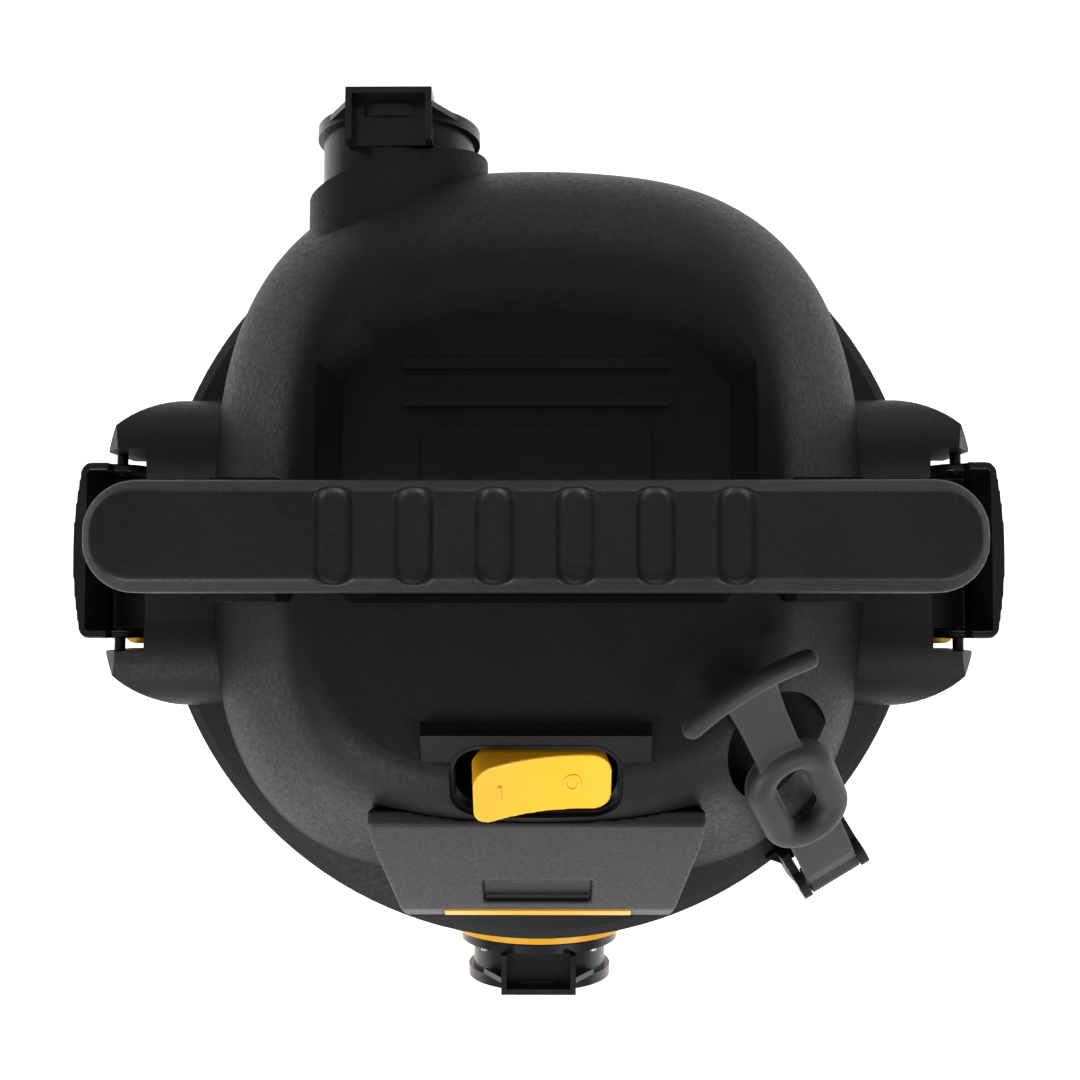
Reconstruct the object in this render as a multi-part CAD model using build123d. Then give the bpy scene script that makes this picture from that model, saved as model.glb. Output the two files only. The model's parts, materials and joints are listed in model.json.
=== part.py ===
from build123d import *
import os
from math import atan2, copysign, cos, degrees, pi, sin, sqrt

# A six-gallon wet/dry shop vacuum. Millimetres, +Z up, origin on the floor under the tank's axis,
# -Y towards the front (the inlet port and the switch).

# ---- driving dimensions -------------------------------------------------------------------------
# Clearances
RUNNING = 0.05       # radial, between a shaft and the bore that it turns in
GAP = 0.3            # between pieces that move past each other
SEAT = 0.1           # between pieces that are fastened together

# Tank
TANK_BASE_Z = 60.0
TANK_RIM_Z = 345.0
TANK_BASE_R = 150.0
TANK_TOP_R = 166.0
TANK_WALL = 3.5
RIM_R = 172.0
RIM_THICK = 6.0
TANK_EAR_X = 198.0
TANK_EAR_HALF_Y = 42.5
TANK_EAR_Z = (322.0, 336.0)

# Casters
CASTER_X = 138.0
CASTER_Y = 172.0
WHEEL_R = 25.0
WHEEL_WIDTH = 20.0
CASTER_TRAIL = 12.0
AXLE_R = 3.0
STEM_R = 5.0
FOOT_BOSS_R = 19.0
FOOT_TOP_Z = 96.0
FOOT_WIDTH = 36.0

# Hose ports, which both take a 57 mm hose end
PORT_BORE_R = 29.0
PORT_TUBE_R = 32.5
PORT_FLANGE_R = 35.0
PORT_FLANGE_THICK = 5.0
HOOD_WIDTH = 35.0
HOOD_RISE = 41.0
INLET_Z = 298.0
INLET_BASE_R = 38.5
INLET_BASE_Y = -183.0
INLET_BOSS_R = 42.0
INLET_TIP_Y = -206.5
BLOWER_X = -60.0
BLOWER_Z = 400.0
BLOWER_BOSS_R = 38.5
BLOWER_BOSS_Y = 162.0
BOSS_SLANT = 14.0
BLOWER_INNER_Y = 148.0
BLOWER_TIP_Y = 181.0

# Lid collar
LID_R = 176.0
LID_SKIRT_Z = 337.0
LID_SHOULDER_Z = 361.0
LID_DECK_Z = 373.5
LID_DECK_R = 143.0
LID_WALL = 4.0
CUP_R = 84.0
CUP_FLOOR_Z = 345.0
EAR_TIP_X = 193.5
EAR_BEND_X = 160.0
EAR_HALF_Y = 69.7
EAR_TIP_HALF_Y = 46.0
EAR_TOP_Z = 388.0
EAR_TIP_SLANT = 30.0
EAR_TIP_DROP = 8.0
EAR_WALL = 4.0
NOTCH_X = 172.0
NOTCH_HALF_Y = 44.5
GASKET_THICK = 3.0

LID_FRONT_Y = -LID_R - 2.5    # the inlet boss widens in front of the lid

# Motor cover
DOME_TOP_Z = 455.0
DOME_WALL = 3.0
RECESS_DEPTH = 12.0
CORD_X = 72.0
CORD_Y = 155.5
CORD_Z = 383.0
CORD_HOLE_R = 7.0
RECESS_HALF_X = 86.3
RECESS_FRONT_Y = -23.4
RECESS_CORNER_Y = 86.0
RECESS_ARCH_Y = 100.0
RECESS_INSET = 9.3
POCKET_X = 98.0
POCKET_Y = -82.0
POCKET_R = 24.0
POCKET_FLOOR_Z = 412.0

# Handle
HANDLE_HALF_X = 160.0
HANDLE_HALF_Y = 20.0
HANDLE_BOTTOM_Z = 478.0
HANDLE_SPLIT_Z = 491.0
HANDLE_TOP_Z = 505.0
POST_INNER_X = 96.0
POST_OUTER_X = 121.0
POST_HALF_Y = 23.0
FINGER_PITCH = 28.2
FINGER_COUNT = 6
FINGER_WIDTH = 14.0
FINGER_LENGTH = 36.5
FINGER_DEPTH = 3.0

# Switch
SWITCH_Y = -91.0
SWITCH_Z = 449.0
SWITCH_TILT = 33.0
POD_HALF_X = 44.0
POD_LENGTH = 43.0
POD_DEPTH = 34.0
OPENING_X = 67.0
OPENING_Y = 34.0
OPENING_CORNER = 13.0
ROCKER_X = 54.0
ROCKER_Y = 27.0
ROCKER_ANGLE = 11.0

# Latches
LATCH_PIVOT_X = 190.0
LATCH_PIVOT_Z = 366.0
LATCH_OUTER_X = 204.5
LATCH_HALF_Y = 39.0
LATCH_WALL = 3.5
LATCH_BULGE = 3.0
LATCH_TOP_Z = 385.0
LATCH_FOOT_Z = 312.0
LATCH_PIN_R = 2.5
HOOK_GAP = 1.5

# Strap
STRAP_PIVOT_X = 128.8
STRAP_PIVOT_Y = -139.6
STRAP_PIVOT_Z = 374.0
STRAP_YAW = -59.2
STRAP_WIDTH = 24.0
STRAP_THICK = 5.0
STRAP_PIN_R = 2.5
STRAP_EYE_R = 6.0
STRAP_LENGTH = 141.0
STRAP_TILT = 43.5
STRAP_RING_AT = 62.0
STRAP_OFFSET = 2.0
T_BAR_LENGTH = 58.0
T_BAR_R = 4.0

# Motor and fan
SHAFT_R = 4.0
SHAFT_Z = (353.0, 438.0)
BEARING_R = 11.0
BEARING_WIDTH = 7.0
LOWER_BEARING_Z = 384.0
UPPER_BEARING_Z = 430.5
FAN_R = 64.0
FAN_Z = (357.0, 376.0)
FAN_HOUSING_R = 76.0
FAN_HOUSING_TOP_Z = 391.0
STATOR_R = 42.0
STATOR_BORE_R = 25.0
STACK_Z = (402.0, 422.0)
ARMATURE_R = 24.4
COMMUTATOR_R = 11.0
COMMUTATOR_Z = (423.0, 430.0)
MOTOR_TOP_Z = 439.0

# Filter and float
FLOAT_R = 20.0
FLOAT_WALL = 1.5
FLOAT_SEAT_R = 15.0
CAGE_R = 25.0
CAGE_WALL = 3.0
CAGE_FLOOR_Z = 262.0
STUD_R = 6.0
STUD_END_Z = 188.0
FILTER_TOP_Z = 344.7
FILTER_BASE_Z = 216.0
FILTER_R = 86.0
FILTER_INNER_R = 62.0
PLEATS = 36
PAPER = 1.2
LOCK_THICK = 12.0

PARTS = {}


# ---- helpers ------------------------------------------------------------------------------------
def disc(radius, z_low, z_high, x=0.0, y=0.0):
    """A vertical cylinder between two heights."""
    base = Location((x, y, z_low))
    return base * Cylinder(radius, z_high - z_low, align=(Align.CENTER, Align.CENTER, Align.MIN))


def along_y(radius, y_low, y_high, x=0.0, z=0.0):
    """A cylinder along Y between two places."""
    base = Location((x, y_low, z), (-90, 0, 0))
    return base * Cylinder(radius, y_high - y_low, align=(Align.CENTER, Align.CENTER, Align.MIN))


def block(x, y, z):
    """A box from three (low, high) pairs."""
    middle = ((x[0] + x[1]) / 2, (y[0] + y[1]) / 2, (z[0] + z[1]) / 2)
    return Location(middle) * Box(x[1] - x[0], y[1] - y[0], z[1] - z[0])


def ring(outer, inner, z_low, z_high, x=0.0, y=0.0):
    """A vertical tube between two heights."""
    return disc(outer, z_low, z_high, x, y) - disc(inner, z_low - 1, z_high + 1, x, y)


def turned(points):
    """A solid of revolution about Z from an outline of (radius, z) points."""
    outline = Polyline(*[(r, 0, z) for r, z in points], close=True)
    return revolve(make_face(outline), Axis.Z)


def prism_x(points, half_x):
    """A solid from an outline of (y, z) points, from -half_x to +half_x."""
    outline = Polyline(*[(0, y, z) for y, z in points], close=True)
    return extrude(make_face(outline), half_x, dir=(1, 0, 0), both=True)


def prism_z(points, z_low, z_high):
    """A solid from an outline of (x, y) points between two heights."""
    outline = Polyline(*[(x, y, z_low) for x, y in points], close=True)
    return extrude(make_face(outline), z_high - z_low, dir=(0, 0, 1))


def screw(place, head_r, head_h, shank_r, shank_l):
    """A pan-head screw with a cross recess; its seat is at the origin and its shank points to -Z."""
    head = disc(head_r, 0, head_h)
    slot = Box(head_r * 1.3, head_r * 0.3, head_h, align=(Align.CENTER, Align.CENTER, Align.CENTER))
    cross = Location((0, 0, head_h)) * (slot + Rot(0, 0, 90) * slot)
    return place * (head - cross + disc(shank_r, -shank_l, 0))


def mirror_x(shape):
    return mirror(shape, about=Plane.YZ)


def keep(name, *solids):
    """Store a sub-part under its name, as one shape."""
    found = []
    for solid in solids:
        found += solid.solids()
    PARTS[name] = found[0] if len(found) == 1 else Compound(children=found)


# ---- tank ---------------------------------------------------------------------------------------
def tank_radius(z):
    """The tank's outer radius at a height."""
    share = (z - TANK_BASE_Z) / (TANK_RIM_Z - TANK_BASE_Z)
    return TANK_BASE_R + share * (TANK_TOP_R - TANK_BASE_R)


CASTERS = {
    "front_left": (-1, -1),
    "front_right": (1, -1),
    "rear_left": (-1, 1),
    "rear_right": (1, 1),
}
FOOT_PLATE_Z = (TANK_BASE_Z - 4.0, TANK_BASE_Z)
FOOT_SCREWS = ((118.0, 9.0), (118.0, -9.0))
FOOT_SCREW_R = 2.0


def foot_frame(side):
    """The frame of a foot: its X axis points from the tank's axis to the caster's stem."""
    return Rot(0, 0, degrees(atan2(side[1] * CASTER_Y, side[0] * CASTER_X)))


def make_tank():
    corner = 12.0
    outer = turned([
        (0, TANK_BASE_Z),
        (TANK_BASE_R - corner, TANK_BASE_Z),
        (TANK_BASE_R - corner * 0.3, TANK_BASE_Z + corner * 0.3),
        (TANK_BASE_R, TANK_BASE_Z + corner),
        (TANK_TOP_R, TANK_RIM_Z - RIM_THICK),
        (RIM_R, TANK_RIM_Z - RIM_THICK),
        (RIM_R, TANK_RIM_Z),
        (0, TANK_RIM_Z),
    ])
    inner = turned([
        (0, TANK_BASE_Z + TANK_WALL),
        (TANK_BASE_R - corner, TANK_BASE_Z + TANK_WALL),
        (TANK_BASE_R - TANK_WALL, TANK_BASE_Z + corner),
        (TANK_TOP_R - TANK_WALL, TANK_RIM_Z - RIM_THICK),
        (TANK_TOP_R - TANK_WALL, TANK_RIM_Z + 1),
        (0, TANK_RIM_Z + 1),
    ])
    boss = along_y(INLET_BASE_R - 0.5, LID_FRONT_Y, -100, 0, INLET_Z)
    boss += along_y(INLET_BOSS_R, INLET_BASE_Y, LID_FRONT_Y, 0, INLET_Z)
    ears = Part()
    for side in (-1, 1):
        span = sorted((side * (TANK_TOP_R - 12), side * TANK_EAR_X))
        ear = block(span, (-TANK_EAR_HALF_Y, TANK_EAR_HALF_Y), TANK_EAR_Z)
        ears += fillet(ear.edges().filter_by(Axis.Z), 6)
    tank = outer + boss + ears - inner
    for side in CASTERS.values():
        for along, across in FOOT_SCREWS:
            stand = disc(6.0, TANK_BASE_Z + 1, TANK_BASE_Z + 16, along, across)
            hole = disc(FOOT_SCREW_R, TANK_BASE_Z - 1, TANK_BASE_Z + 13, along, across)
            tank = tank + foot_frame(side) * stand - foot_frame(side) * hole
    tank -= along_y(PORT_TUBE_R + SEAT, INLET_BASE_Y - 1, 0, 0, INLET_Z)
    tank -= inlet_screw_holes(1.3, INLET_BASE_Y - 1, INLET_BASE_Y + 8)
    return tank


# ---- hose ports ---------------------------------------------------------------------------------
INLET_SCREW_R = PORT_TUBE_R + 3.2
INLET_PLATE = 4.0
INLET_GASKET = 1.5


def inlet_screw_holes(radius, y_low, y_high):
    """Four holes round the inlet, on its diagonals."""
    holes = Part()
    reach = INLET_SCREW_R * sqrt(0.5)
    for x in (-reach, reach):
        for z in (-reach, reach):
            holes += along_y(radius, y_low, y_high, x, INLET_Z + z)
    return holes


def hose_hood(y_inner, y_tip):
    """The hose-lock hood on top of a port: open above and at its inner end, with a fin on each side."""
    out = copysign(1, y_tip - y_inner)
    wall = 2.6
    half = HOOD_WIDTH / 2
    hood = block((-half, half), sorted((y_inner, y_tip)), (PORT_TUBE_R - 6.0, HOOD_RISE))
    slot_y = sorted((y_inner - out, y_tip - out * wall))
    hood -= block((-half + wall, half - wall), slot_y, (PORT_TUBE_R + 0.8, HOOD_RISE + 1))
    fin_y = y_tip - out * 5.0
    for side in (-1, 1):
        outline = [(side * (half - 0.5), HOOD_RISE - 1), (side * (half + 9), PORT_FLANGE_R * 0.66),
                   (side * (half - 0.5), PORT_FLANGE_R * 0.66)]
        fin = Polyline(*[(x, fin_y, z) for x, z in outline], close=True)
        hood += extrude(make_face(fin), 2.4, dir=(0, -out, 0))
    return hood


def make_inlet_port():
    flange_y = INLET_TIP_Y + PORT_FLANGE_THICK
    inner_end = -140.0
    plate_y = INLET_BASE_Y - INLET_GASKET
    body = along_y(PORT_TUBE_R, INLET_TIP_Y, inner_end)
    body += along_y(PORT_FLANGE_R, INLET_TIP_Y, flange_y)
    body += along_y(INLET_BASE_R, plate_y - INLET_PLATE, plate_y)
    body += hose_hood(INLET_BASE_Y - INLET_GASKET - INLET_PLATE, INLET_TIP_Y)
    body -= along_y(PORT_BORE_R, INLET_TIP_Y - 6, inner_end + 1)
    body = Pos(0, 0, INLET_Z) * body
    return body - inlet_screw_holes(1.4, plate_y - INLET_PLATE - 1, plate_y + 1)


def make_inlet_gasket():
    plate_y = INLET_BASE_Y - INLET_GASKET
    pad = along_y(INLET_BASE_R - 0.5, plate_y, INLET_BASE_Y, 0, INLET_Z)
    pad -= along_y(PORT_TUBE_R + SEAT, plate_y - 1, INLET_BASE_Y + 1, 0, INLET_Z)
    return pad - inlet_screw_holes(1.4, plate_y - 1, INLET_BASE_Y + 1)


def make_inlet_screws():
    seat_y = INLET_BASE_Y - INLET_GASKET - INLET_PLATE
    reach = INLET_SCREW_R * sqrt(0.5)
    found = []
    for x in (-reach, reach):
        for z in (-reach, reach):
            place = Location((x, seat_y, INLET_Z + z), (90, 0, 0))
            found.append(screw(place, 2.4, 1.2, 1.3, 9.0))
    return found


def make_inlet_deflector():
    """The elbow inside the tank that turns the incoming air down."""
    outer = PORT_TUBE_R + SEAT + 2.5
    sleeve = along_y(outer, -158, -128, 0, INLET_Z) - along_y(PORT_TUBE_R + SEAT, -159, -127, 0, INLET_Z)
    shield = block((-outer, outer), (-128, -125), (INLET_Z - outer - 10, INLET_Z + outer))
    sides = Part()
    for x in (-outer, outer - 2.5):
        sides += block((x, x + 2.5), (-142, -125), (INLET_Z - outer - 10, INLET_Z + 5))
    wall = turned([
        (tank_radius(INLET_Z - 60) - TANK_WALL - 1.0, INLET_Z - 60),
        (400, INLET_Z - 60),
        (400, INLET_Z + 60),
        (tank_radius(INLET_Z + 60) - TANK_WALL - 1.0, INLET_Z + 60),
    ])
    return sleeve + shield + (sides - along_y(outer - 0.5, -150, -124, 0, INLET_Z)) - wall


def make_blower_port():
    body = along_y(PORT_TUBE_R, BLOWER_INNER_Y, BLOWER_TIP_Y)
    body += along_y(PORT_FLANGE_R, BLOWER_TIP_Y - PORT_FLANGE_THICK, BLOWER_TIP_Y)
    body += hose_hood(BLOWER_BOSS_Y + 2.0, BLOWER_TIP_Y + 4.5)
    body -= along_y(PORT_BORE_R, BLOWER_INNER_Y - 1, BLOWER_TIP_Y + 6)
    return Pos(BLOWER_X, 0, BLOWER_Z) * body


# ---- casters ------------------------------------------------------------------------------------
FORK_TOP_Z = 2 * WHEEL_R + 5.0
STEM_REACH = sqrt(CASTER_X ** 2 + CASTER_Y ** 2)


def make_foot(side):
    """A bracket that is screwed under the tank and holds a caster's stem."""
    half = FOOT_WIDTH / 2
    boss = disc(FOOT_BOSS_R, FOOT_PLATE_Z[0] + 1, FOOT_TOP_Z, STEM_REACH)
    boss = fillet(boss.edges().group_by(Axis.Z)[-1], 6)
    arm = prism_x([
        (104, FOOT_PLATE_Z[0]), (STEM_REACH, FOOT_PLATE_Z[0]),
        (STEM_REACH, FOOT_TOP_Z - 6), (TANK_BASE_R + 8, FOOT_TOP_Z - 4), (TANK_BASE_R - 10, FOOT_TOP_Z - 4),
        (TANK_BASE_R - 20, TANK_BASE_Z), (104, TANK_BASE_Z),
    ], half)
    body = boss + Rot(0, 0, -90) * arm
    drum = turned([
        (0, TANK_BASE_Z), (TANK_BASE_R + SEAT, TANK_BASE_Z), (TANK_BASE_R + SEAT, TANK_BASE_Z + 12),
        (tank_radius(FOOT_TOP_Z) + SEAT + 0.6, FOOT_TOP_Z + 6), (0, FOOT_TOP_Z + 6),
    ])
    body -= drum
    body -= disc(STEM_R + RUNNING, FOOT_PLATE_Z[0] - 1, FOOT_TOP_Z - 5, STEM_REACH)
    for along, across in FOOT_SCREWS:
        body -= disc(FOOT_SCREW_R + 0.2, FOOT_PLATE_Z[0] - 1, TANK_BASE_Z + 1, along, across)
    return foot_frame(side) * body


def make_foot_screws():
    found = []
    for side in CASTERS.values():
        for along, across in FOOT_SCREWS:
            place = foot_frame(side) * Location((along, across, FOOT_PLATE_Z[0]), (180, 0, 0))
            found.append(screw(place, 4.0, 2.5, FOOT_SCREW_R, 15.0))
    return found


def make_fork():
    """The caster's fork at the origin: stem along Z, its wheel trailing towards +Y."""
    cheek_x = WHEEL_WIDTH / 2 + 1.0
    cheek = 3.0
    fork = disc(STEM_R, FORK_TOP_Z - 1, FOOT_TOP_Z - 7)
    fork += disc(13.0, FORK_TOP_Z - 4, FORK_TOP_Z)
    fork += block((-cheek_x - cheek, cheek_x + cheek), (-9, 20), (FORK_TOP_Z - 4, FORK_TOP_Z - 1))
    for x in (-cheek_x - cheek, cheek_x):
        side = prism_x([
            (-9, FORK_TOP_Z - 1), (20, FORK_TOP_Z - 1), (CASTER_TRAIL + 8, WHEEL_R - 5),
            (CASTER_TRAIL + 4, WHEEL_R - 8), (CASTER_TRAIL - 4, WHEEL_R - 8), (CASTER_TRAIL - 8, WHEEL_R - 5),
        ], cheek / 2)
        fork += Pos(x + cheek / 2, 0, 0) * side
    axle = Location((0, CASTER_TRAIL, WHEEL_R), (0, 90, 0)) * Cylinder(AXLE_R, 80)
    return fork - axle


def make_axle():
    reach = WHEEL_WIDTH / 2 + 1.0 + 3.0
    place = Location((0, CASTER_TRAIL, WHEEL_R), (0, 90, 0))
    shank = place * Cylinder(AXLE_R, 2 * reach)
    heads = Part()
    for side in (-1, 1):
        heads += place * Pos(0, 0, side * (reach + 0.75)) * Cylinder(AXLE_R + 1.6, 1.5)
    return shank + heads


def make_wheel():
    half = WHEEL_WIDTH / 2
    tread = 3.0
    outline = [
        (AXLE_R + RUNNING, -half), (AXLE_R + 5, -half), (AXLE_R + 6, -half + 4), (WHEEL_R - 8, -half + 4),
        (WHEEL_R - 6, -half + 1), (WHEEL_R - 2, -half + 1), (WHEEL_R, -half + tread + 1),
    ]
    full = outline + [(r, -z) for r, z in reversed(outline)]
    return Location((0, CASTER_TRAIL, WHEEL_R), (0, 90, 0)) * turned(full)


# ---- lid collar ---------------------------------------------------------------------------------
# The strap's frame: origin above its pin on the floor, X axis pointing away from the cover.
STRAP_FRAME = Location((STRAP_PIVOT_X, STRAP_PIVOT_Y, 0), (0, 0, STRAP_YAW))
STRAP_PIN_LINE = Location((0, 0, STRAP_PIVOT_Z), (90, 0, 0))
LUG_EAR_Y = (STRAP_WIDTH / 2 + 0.5, STRAP_WIDTH / 2 + 4.5)
COVER_SCREWS = ((-105, -60), (105, -60), (-100, 80), (100, 80))


def lid_envelope(extra=0.0):
    """The lid's outer shape without its hollow, grown upwards by a small amount."""
    return turned([
        (0, LID_SKIRT_Z), (LID_R, LID_SKIRT_Z), (LID_R, LID_SHOULDER_Z - 4 + extra),
        (LID_R - 5, LID_SHOULDER_Z + extra), (LID_DECK_R, LID_DECK_Z + extra), (0, LID_DECK_Z + extra),
    ])


def ear_shape(inset=0.0):
    """One side ear of the lid, on +X: rounded over from front to back, and tapered to its tip."""
    half = EAR_HALF_Y - inset
    top = EAR_TOP_Z - inset
    shoulder = LID_SHOULDER_Z - inset
    arch = 0.8
    left_foot, left_top = (-half, shoulder), (-half * 0.45, top)
    left_mid = (-half * (0.45 + 0.55 * arch), shoulder + (top - shoulder) * 0.72)
    lines = [
        Edge.make_line((0, -half, LID_SKIRT_Z), (0, *left_foot)),
        Edge.make_three_point_arc((0, *left_foot), (0, *left_mid), (0, *left_top)),
        Edge.make_line((0, *left_top), (0, -left_top[0], top)),
        Edge.make_three_point_arc(
            (0, -left_top[0], top), (0, -left_mid[0], left_mid[1]), (0, half, shoulder)),
        Edge.make_line((0, half, shoulder), (0, half, LID_SKIRT_Z)),
        Edge.make_line((0, half, LID_SKIRT_Z), (0, -half, LID_SKIRT_Z)),
    ]
    profile = extrude(make_face(Wire(lines)), EAR_TIP_X + 5, dir=(1, 0, 0))
    tip = EAR_TIP_X - inset
    tip_half = EAR_TIP_HALF_Y - inset * 0.5
    bend = EAR_BEND_X - inset * 0.5
    middle = (bend + (tip - bend) * 0.66, half - (half - tip_half) * 0.42)
    z = LID_SKIRT_Z
    edge = [
        Edge.make_line((110, -half, z), (bend, -half, z)),
        Edge.make_three_point_arc((bend, -half, z), (middle[0], -middle[1], z), (tip, -tip_half, z)),
        Edge.make_line((tip, -tip_half, z), (tip, tip_half, z)),
        Edge.make_three_point_arc((tip, tip_half, z), (middle[0], middle[1], z), (bend, half, z)),
        Edge.make_line((bend, half, z), (110, half, z)),
        Edge.make_line((110, half, z), (110, -half, z)),
    ]
    plan = extrude(make_face(Wire(edge)), EAR_TOP_Z + 5 - z, dir=(0, 0, 1))
    beyond = Box(60, 200, 200, align=(Align.MIN, Align.CENTER, Align.CENTER))
    slant = Location((tip - EAR_TIP_DROP, 0, top), (0, -EAR_TIP_SLANT, 0)) * beyond
    return (profile & plan) - slant


def make_strap_lug():
    """The clevis on the lid's rim that holds the strap's pin."""
    low_z, high_z = LID_SHOULDER_Z - 12, LID_SHOULDER_Z + 1
    inner_y, outer_y = LUG_EAR_Y
    lug = block((-42, -8), (-outer_y, outer_y), (low_z, high_z))
    gusset = [(-42, -outer_y), (-46, -outer_y - 22), (-22, -outer_y - 12), (-8, -outer_y)]
    lug += prism_z(gusset, low_z, high_z)
    for side in (-1, 1):
        span = sorted((side * inner_y, side * outer_y))
        middle = side * (inner_y + outer_y) / 2
        lug += Pos(0, middle, 0) * STRAP_PIN_LINE * Cylinder(7.0, outer_y - inner_y)
        lug += block((-42, 0), span, (low_z, STRAP_PIVOT_Z + 4))
    lug -= STRAP_PIN_LINE * Cylinder(STRAP_EYE_R + 1.2, 2 * inner_y)
    lug -= STRAP_PIN_LINE * Cylinder(STRAP_PIN_R, 100)
    return STRAP_FRAME * lug - disc(LID_R - 3, 0, 500)


def make_lid_collar():
    under = LID_SHOULDER_Z - LID_WALL
    hollow = turned([
        (0, LID_SKIRT_Z - 1), (RIM_R + 0.6, LID_SKIRT_Z - 1), (RIM_R + 0.6, TANK_RIM_Z + GASKET_THICK),
        (158, TANK_RIM_Z + GASKET_THICK), (158, under), (LID_DECK_R - 3, LID_DECK_Z - LID_WALL),
        (0, LID_DECK_Z - LID_WALL),
    ])
    ears = Part()
    ear = ear_shape()
    ear_hollow = ear_shape(EAR_WALL) - disc(LID_R - 1, 0, 500)
    ear_hollow += Pos(0, 0, -6) * ear_hollow
    notch = block((NOTCH_X, 300), (-NOTCH_HALF_Y, NOTCH_HALF_Y), (LID_SKIRT_Z - 5, EAR_TOP_Z + 5))
    ear_hollow -= block((NOTCH_X - EAR_WALL, 300), (-NOTCH_HALF_Y - EAR_WALL, NOTCH_HALF_Y + EAR_WALL),
                        (LID_SKIRT_Z - 15, EAR_TOP_Z + 5))
    ear = ear - ear_hollow - notch
    pin = Location((LATCH_PIVOT_X, 0, LATCH_PIVOT_Z), (90, 0, 0)) * Cylinder(LATCH_PIN_R, 300)
    ear -= pin
    ears = ear + mirror_x(ear)
    lid = lid_envelope() - hollow + (ears - (hollow & disc(LID_R - 1, 0, 500)))
    neck_top = LID_DECK_Z - 1
    lid += ring(CUP_R, CUP_R - LID_WALL, CUP_FLOOR_Z, neck_top)
    lid -= disc(CUP_R - LID_WALL, CUP_FLOOR_Z, LID_DECK_Z + 1)
    lid += ring(CUP_R, FLOAT_SEAT_R, CUP_FLOOR_Z, CUP_FLOOR_Z + LID_WALL - 0.5)
    for x, y in COVER_SCREWS:
        lid -= disc(2.2, LID_DECK_Z - LID_WALL - 2, LID_DECK_Z + 1, x, y)
    clear = TANK_EAR_HALF_Y + 1
    for side in (-1, 1):
        span = sorted((side * (LID_R - 14), side * (TANK_EAR_X + 1)))
        lid -= block(span, (-clear, clear), (LID_SKIRT_Z - 10, LID_SKIRT_Z + 0.5))
    return lid + make_strap_lug()


def make_latch_pins():
    """Four stub pins, one for each cheek of each latch."""
    inner, outer = LATCH_HALF_Y - LATCH_WALL - 1.0, NOTCH_HALF_Y + EAR_WALL
    found = []
    for side in (-1, 1):
        for end in (-1, 1):
            low, high = sorted((end * inner, end * outer))
            found.append(along_y(LATCH_PIN_R, low, high, side * LATCH_PIVOT_X, LATCH_PIVOT_Z))
    return found


def make_strap_pin():
    return STRAP_FRAME * STRAP_PIN_LINE * Cylinder(STRAP_PIN_R, 2 * LUG_EAR_Y[1])


# ---- motor cover --------------------------------------------------------------------------------
# Each section: height, half width, reach to the rear, reach to the front.
DOME_SECTIONS = (
    (352.0, 150.0, 168.0, 150.0),
    (374.0, 146.0, 166.0, 145.0),
    (400.0, 137.0, 162.5, 130.0),
    (424.0, 121.0, 154.5, 118.0),
    (442.0, 107.0, 140.5, 108.0),
    (451.0, 99.0, 126.0, 99.0),
    (DOME_TOP_Z, 89.5, 110.0, 88.0),
)


def dome_outline(z, half_x, rear, front, inset):
    """A closed, rounded outline at a height: a superellipse with its own front and rear reach."""
    power = 3.0
    count = 24
    points = []
    for step in range(count):
        angle = 2 * pi * (step + 0.5) / count
        c, s = cos(angle), sin(angle)
        reach = rear if s > 0 else front
        x = (half_x - inset) * copysign(abs(c) ** (2 / power), c)
        y = (reach - inset) * copysign(abs(s) ** (2 / power), s)
        points.append((x, y, z))
    return make_face(Wire([Edge.make_spline([Vector(*p) for p in points], periodic=True)]))


def dome_solid(inset=0.0):
    faces = []
    for z, half_x, rear, front in DOME_SECTIONS:
        low = 0.0 if z < DOME_TOP_Z - 0.1 else inset
        faces.append(dome_outline(z - (inset if z > 440 else low), half_x, rear, front, inset))
    return loft(faces)


def recess_cut(extra=0.0):
    """The arched recess in the dome's top, widened by extra all round for the shell's inside."""
    faces = []
    floor = DOME_TOP_Z - RECESS_DEPTH
    for z, inset in ((DOME_TOP_Z + 1, -0.7), (floor - extra, RECESS_INSET)):
        half = RECESS_HALF_X - inset + extra
        corner = 14.0
        front = RECESS_FRONT_Y - extra + inset * 0.3
        side_y = RECESS_CORNER_Y - corner - inset
        arch_y = RECESS_ARCH_Y + extra - inset
        shoulder_y = arch_y - (RECESS_ARCH_Y - RECESS_CORNER_Y) * 0.75
        lines = [
            Edge.make_line((-half + corner, front, z), (half - corner, front, z)),
            Edge.make_line((half - corner, front, z), (half, front + corner, z)),
            Edge.make_line((half, front + corner, z), (half, side_y, z)),
            Edge.make_line((half, side_y, z), (half - corner, shoulder_y, z)),
            Edge.make_three_point_arc(
                (half - corner, shoulder_y, z), (0, arch_y, z), (-half + corner, shoulder_y, z)),
            Edge.make_line((-half + corner, shoulder_y, z), (-half, side_y, z)),
            Edge.make_line((-half, side_y, z), (-half, front + corner, z)),
            Edge.make_line((-half, front + corner, z), (-half + corner, front, z)),
        ]
        faces.append(make_face(Wire(lines)))
    return loft(faces, ruled=True)


SWITCH_FRAME = Location((0, SWITCH_Y, SWITCH_Z), (SWITCH_TILT, 0, 0))


def rounded_block(size_x, size_y, low, high, radius):
    body = block((-size_x / 2, size_x / 2), (-size_y / 2, size_y / 2), (low, high))
    return fillet(body.edges().filter_by(Axis.Z), radius)


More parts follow.
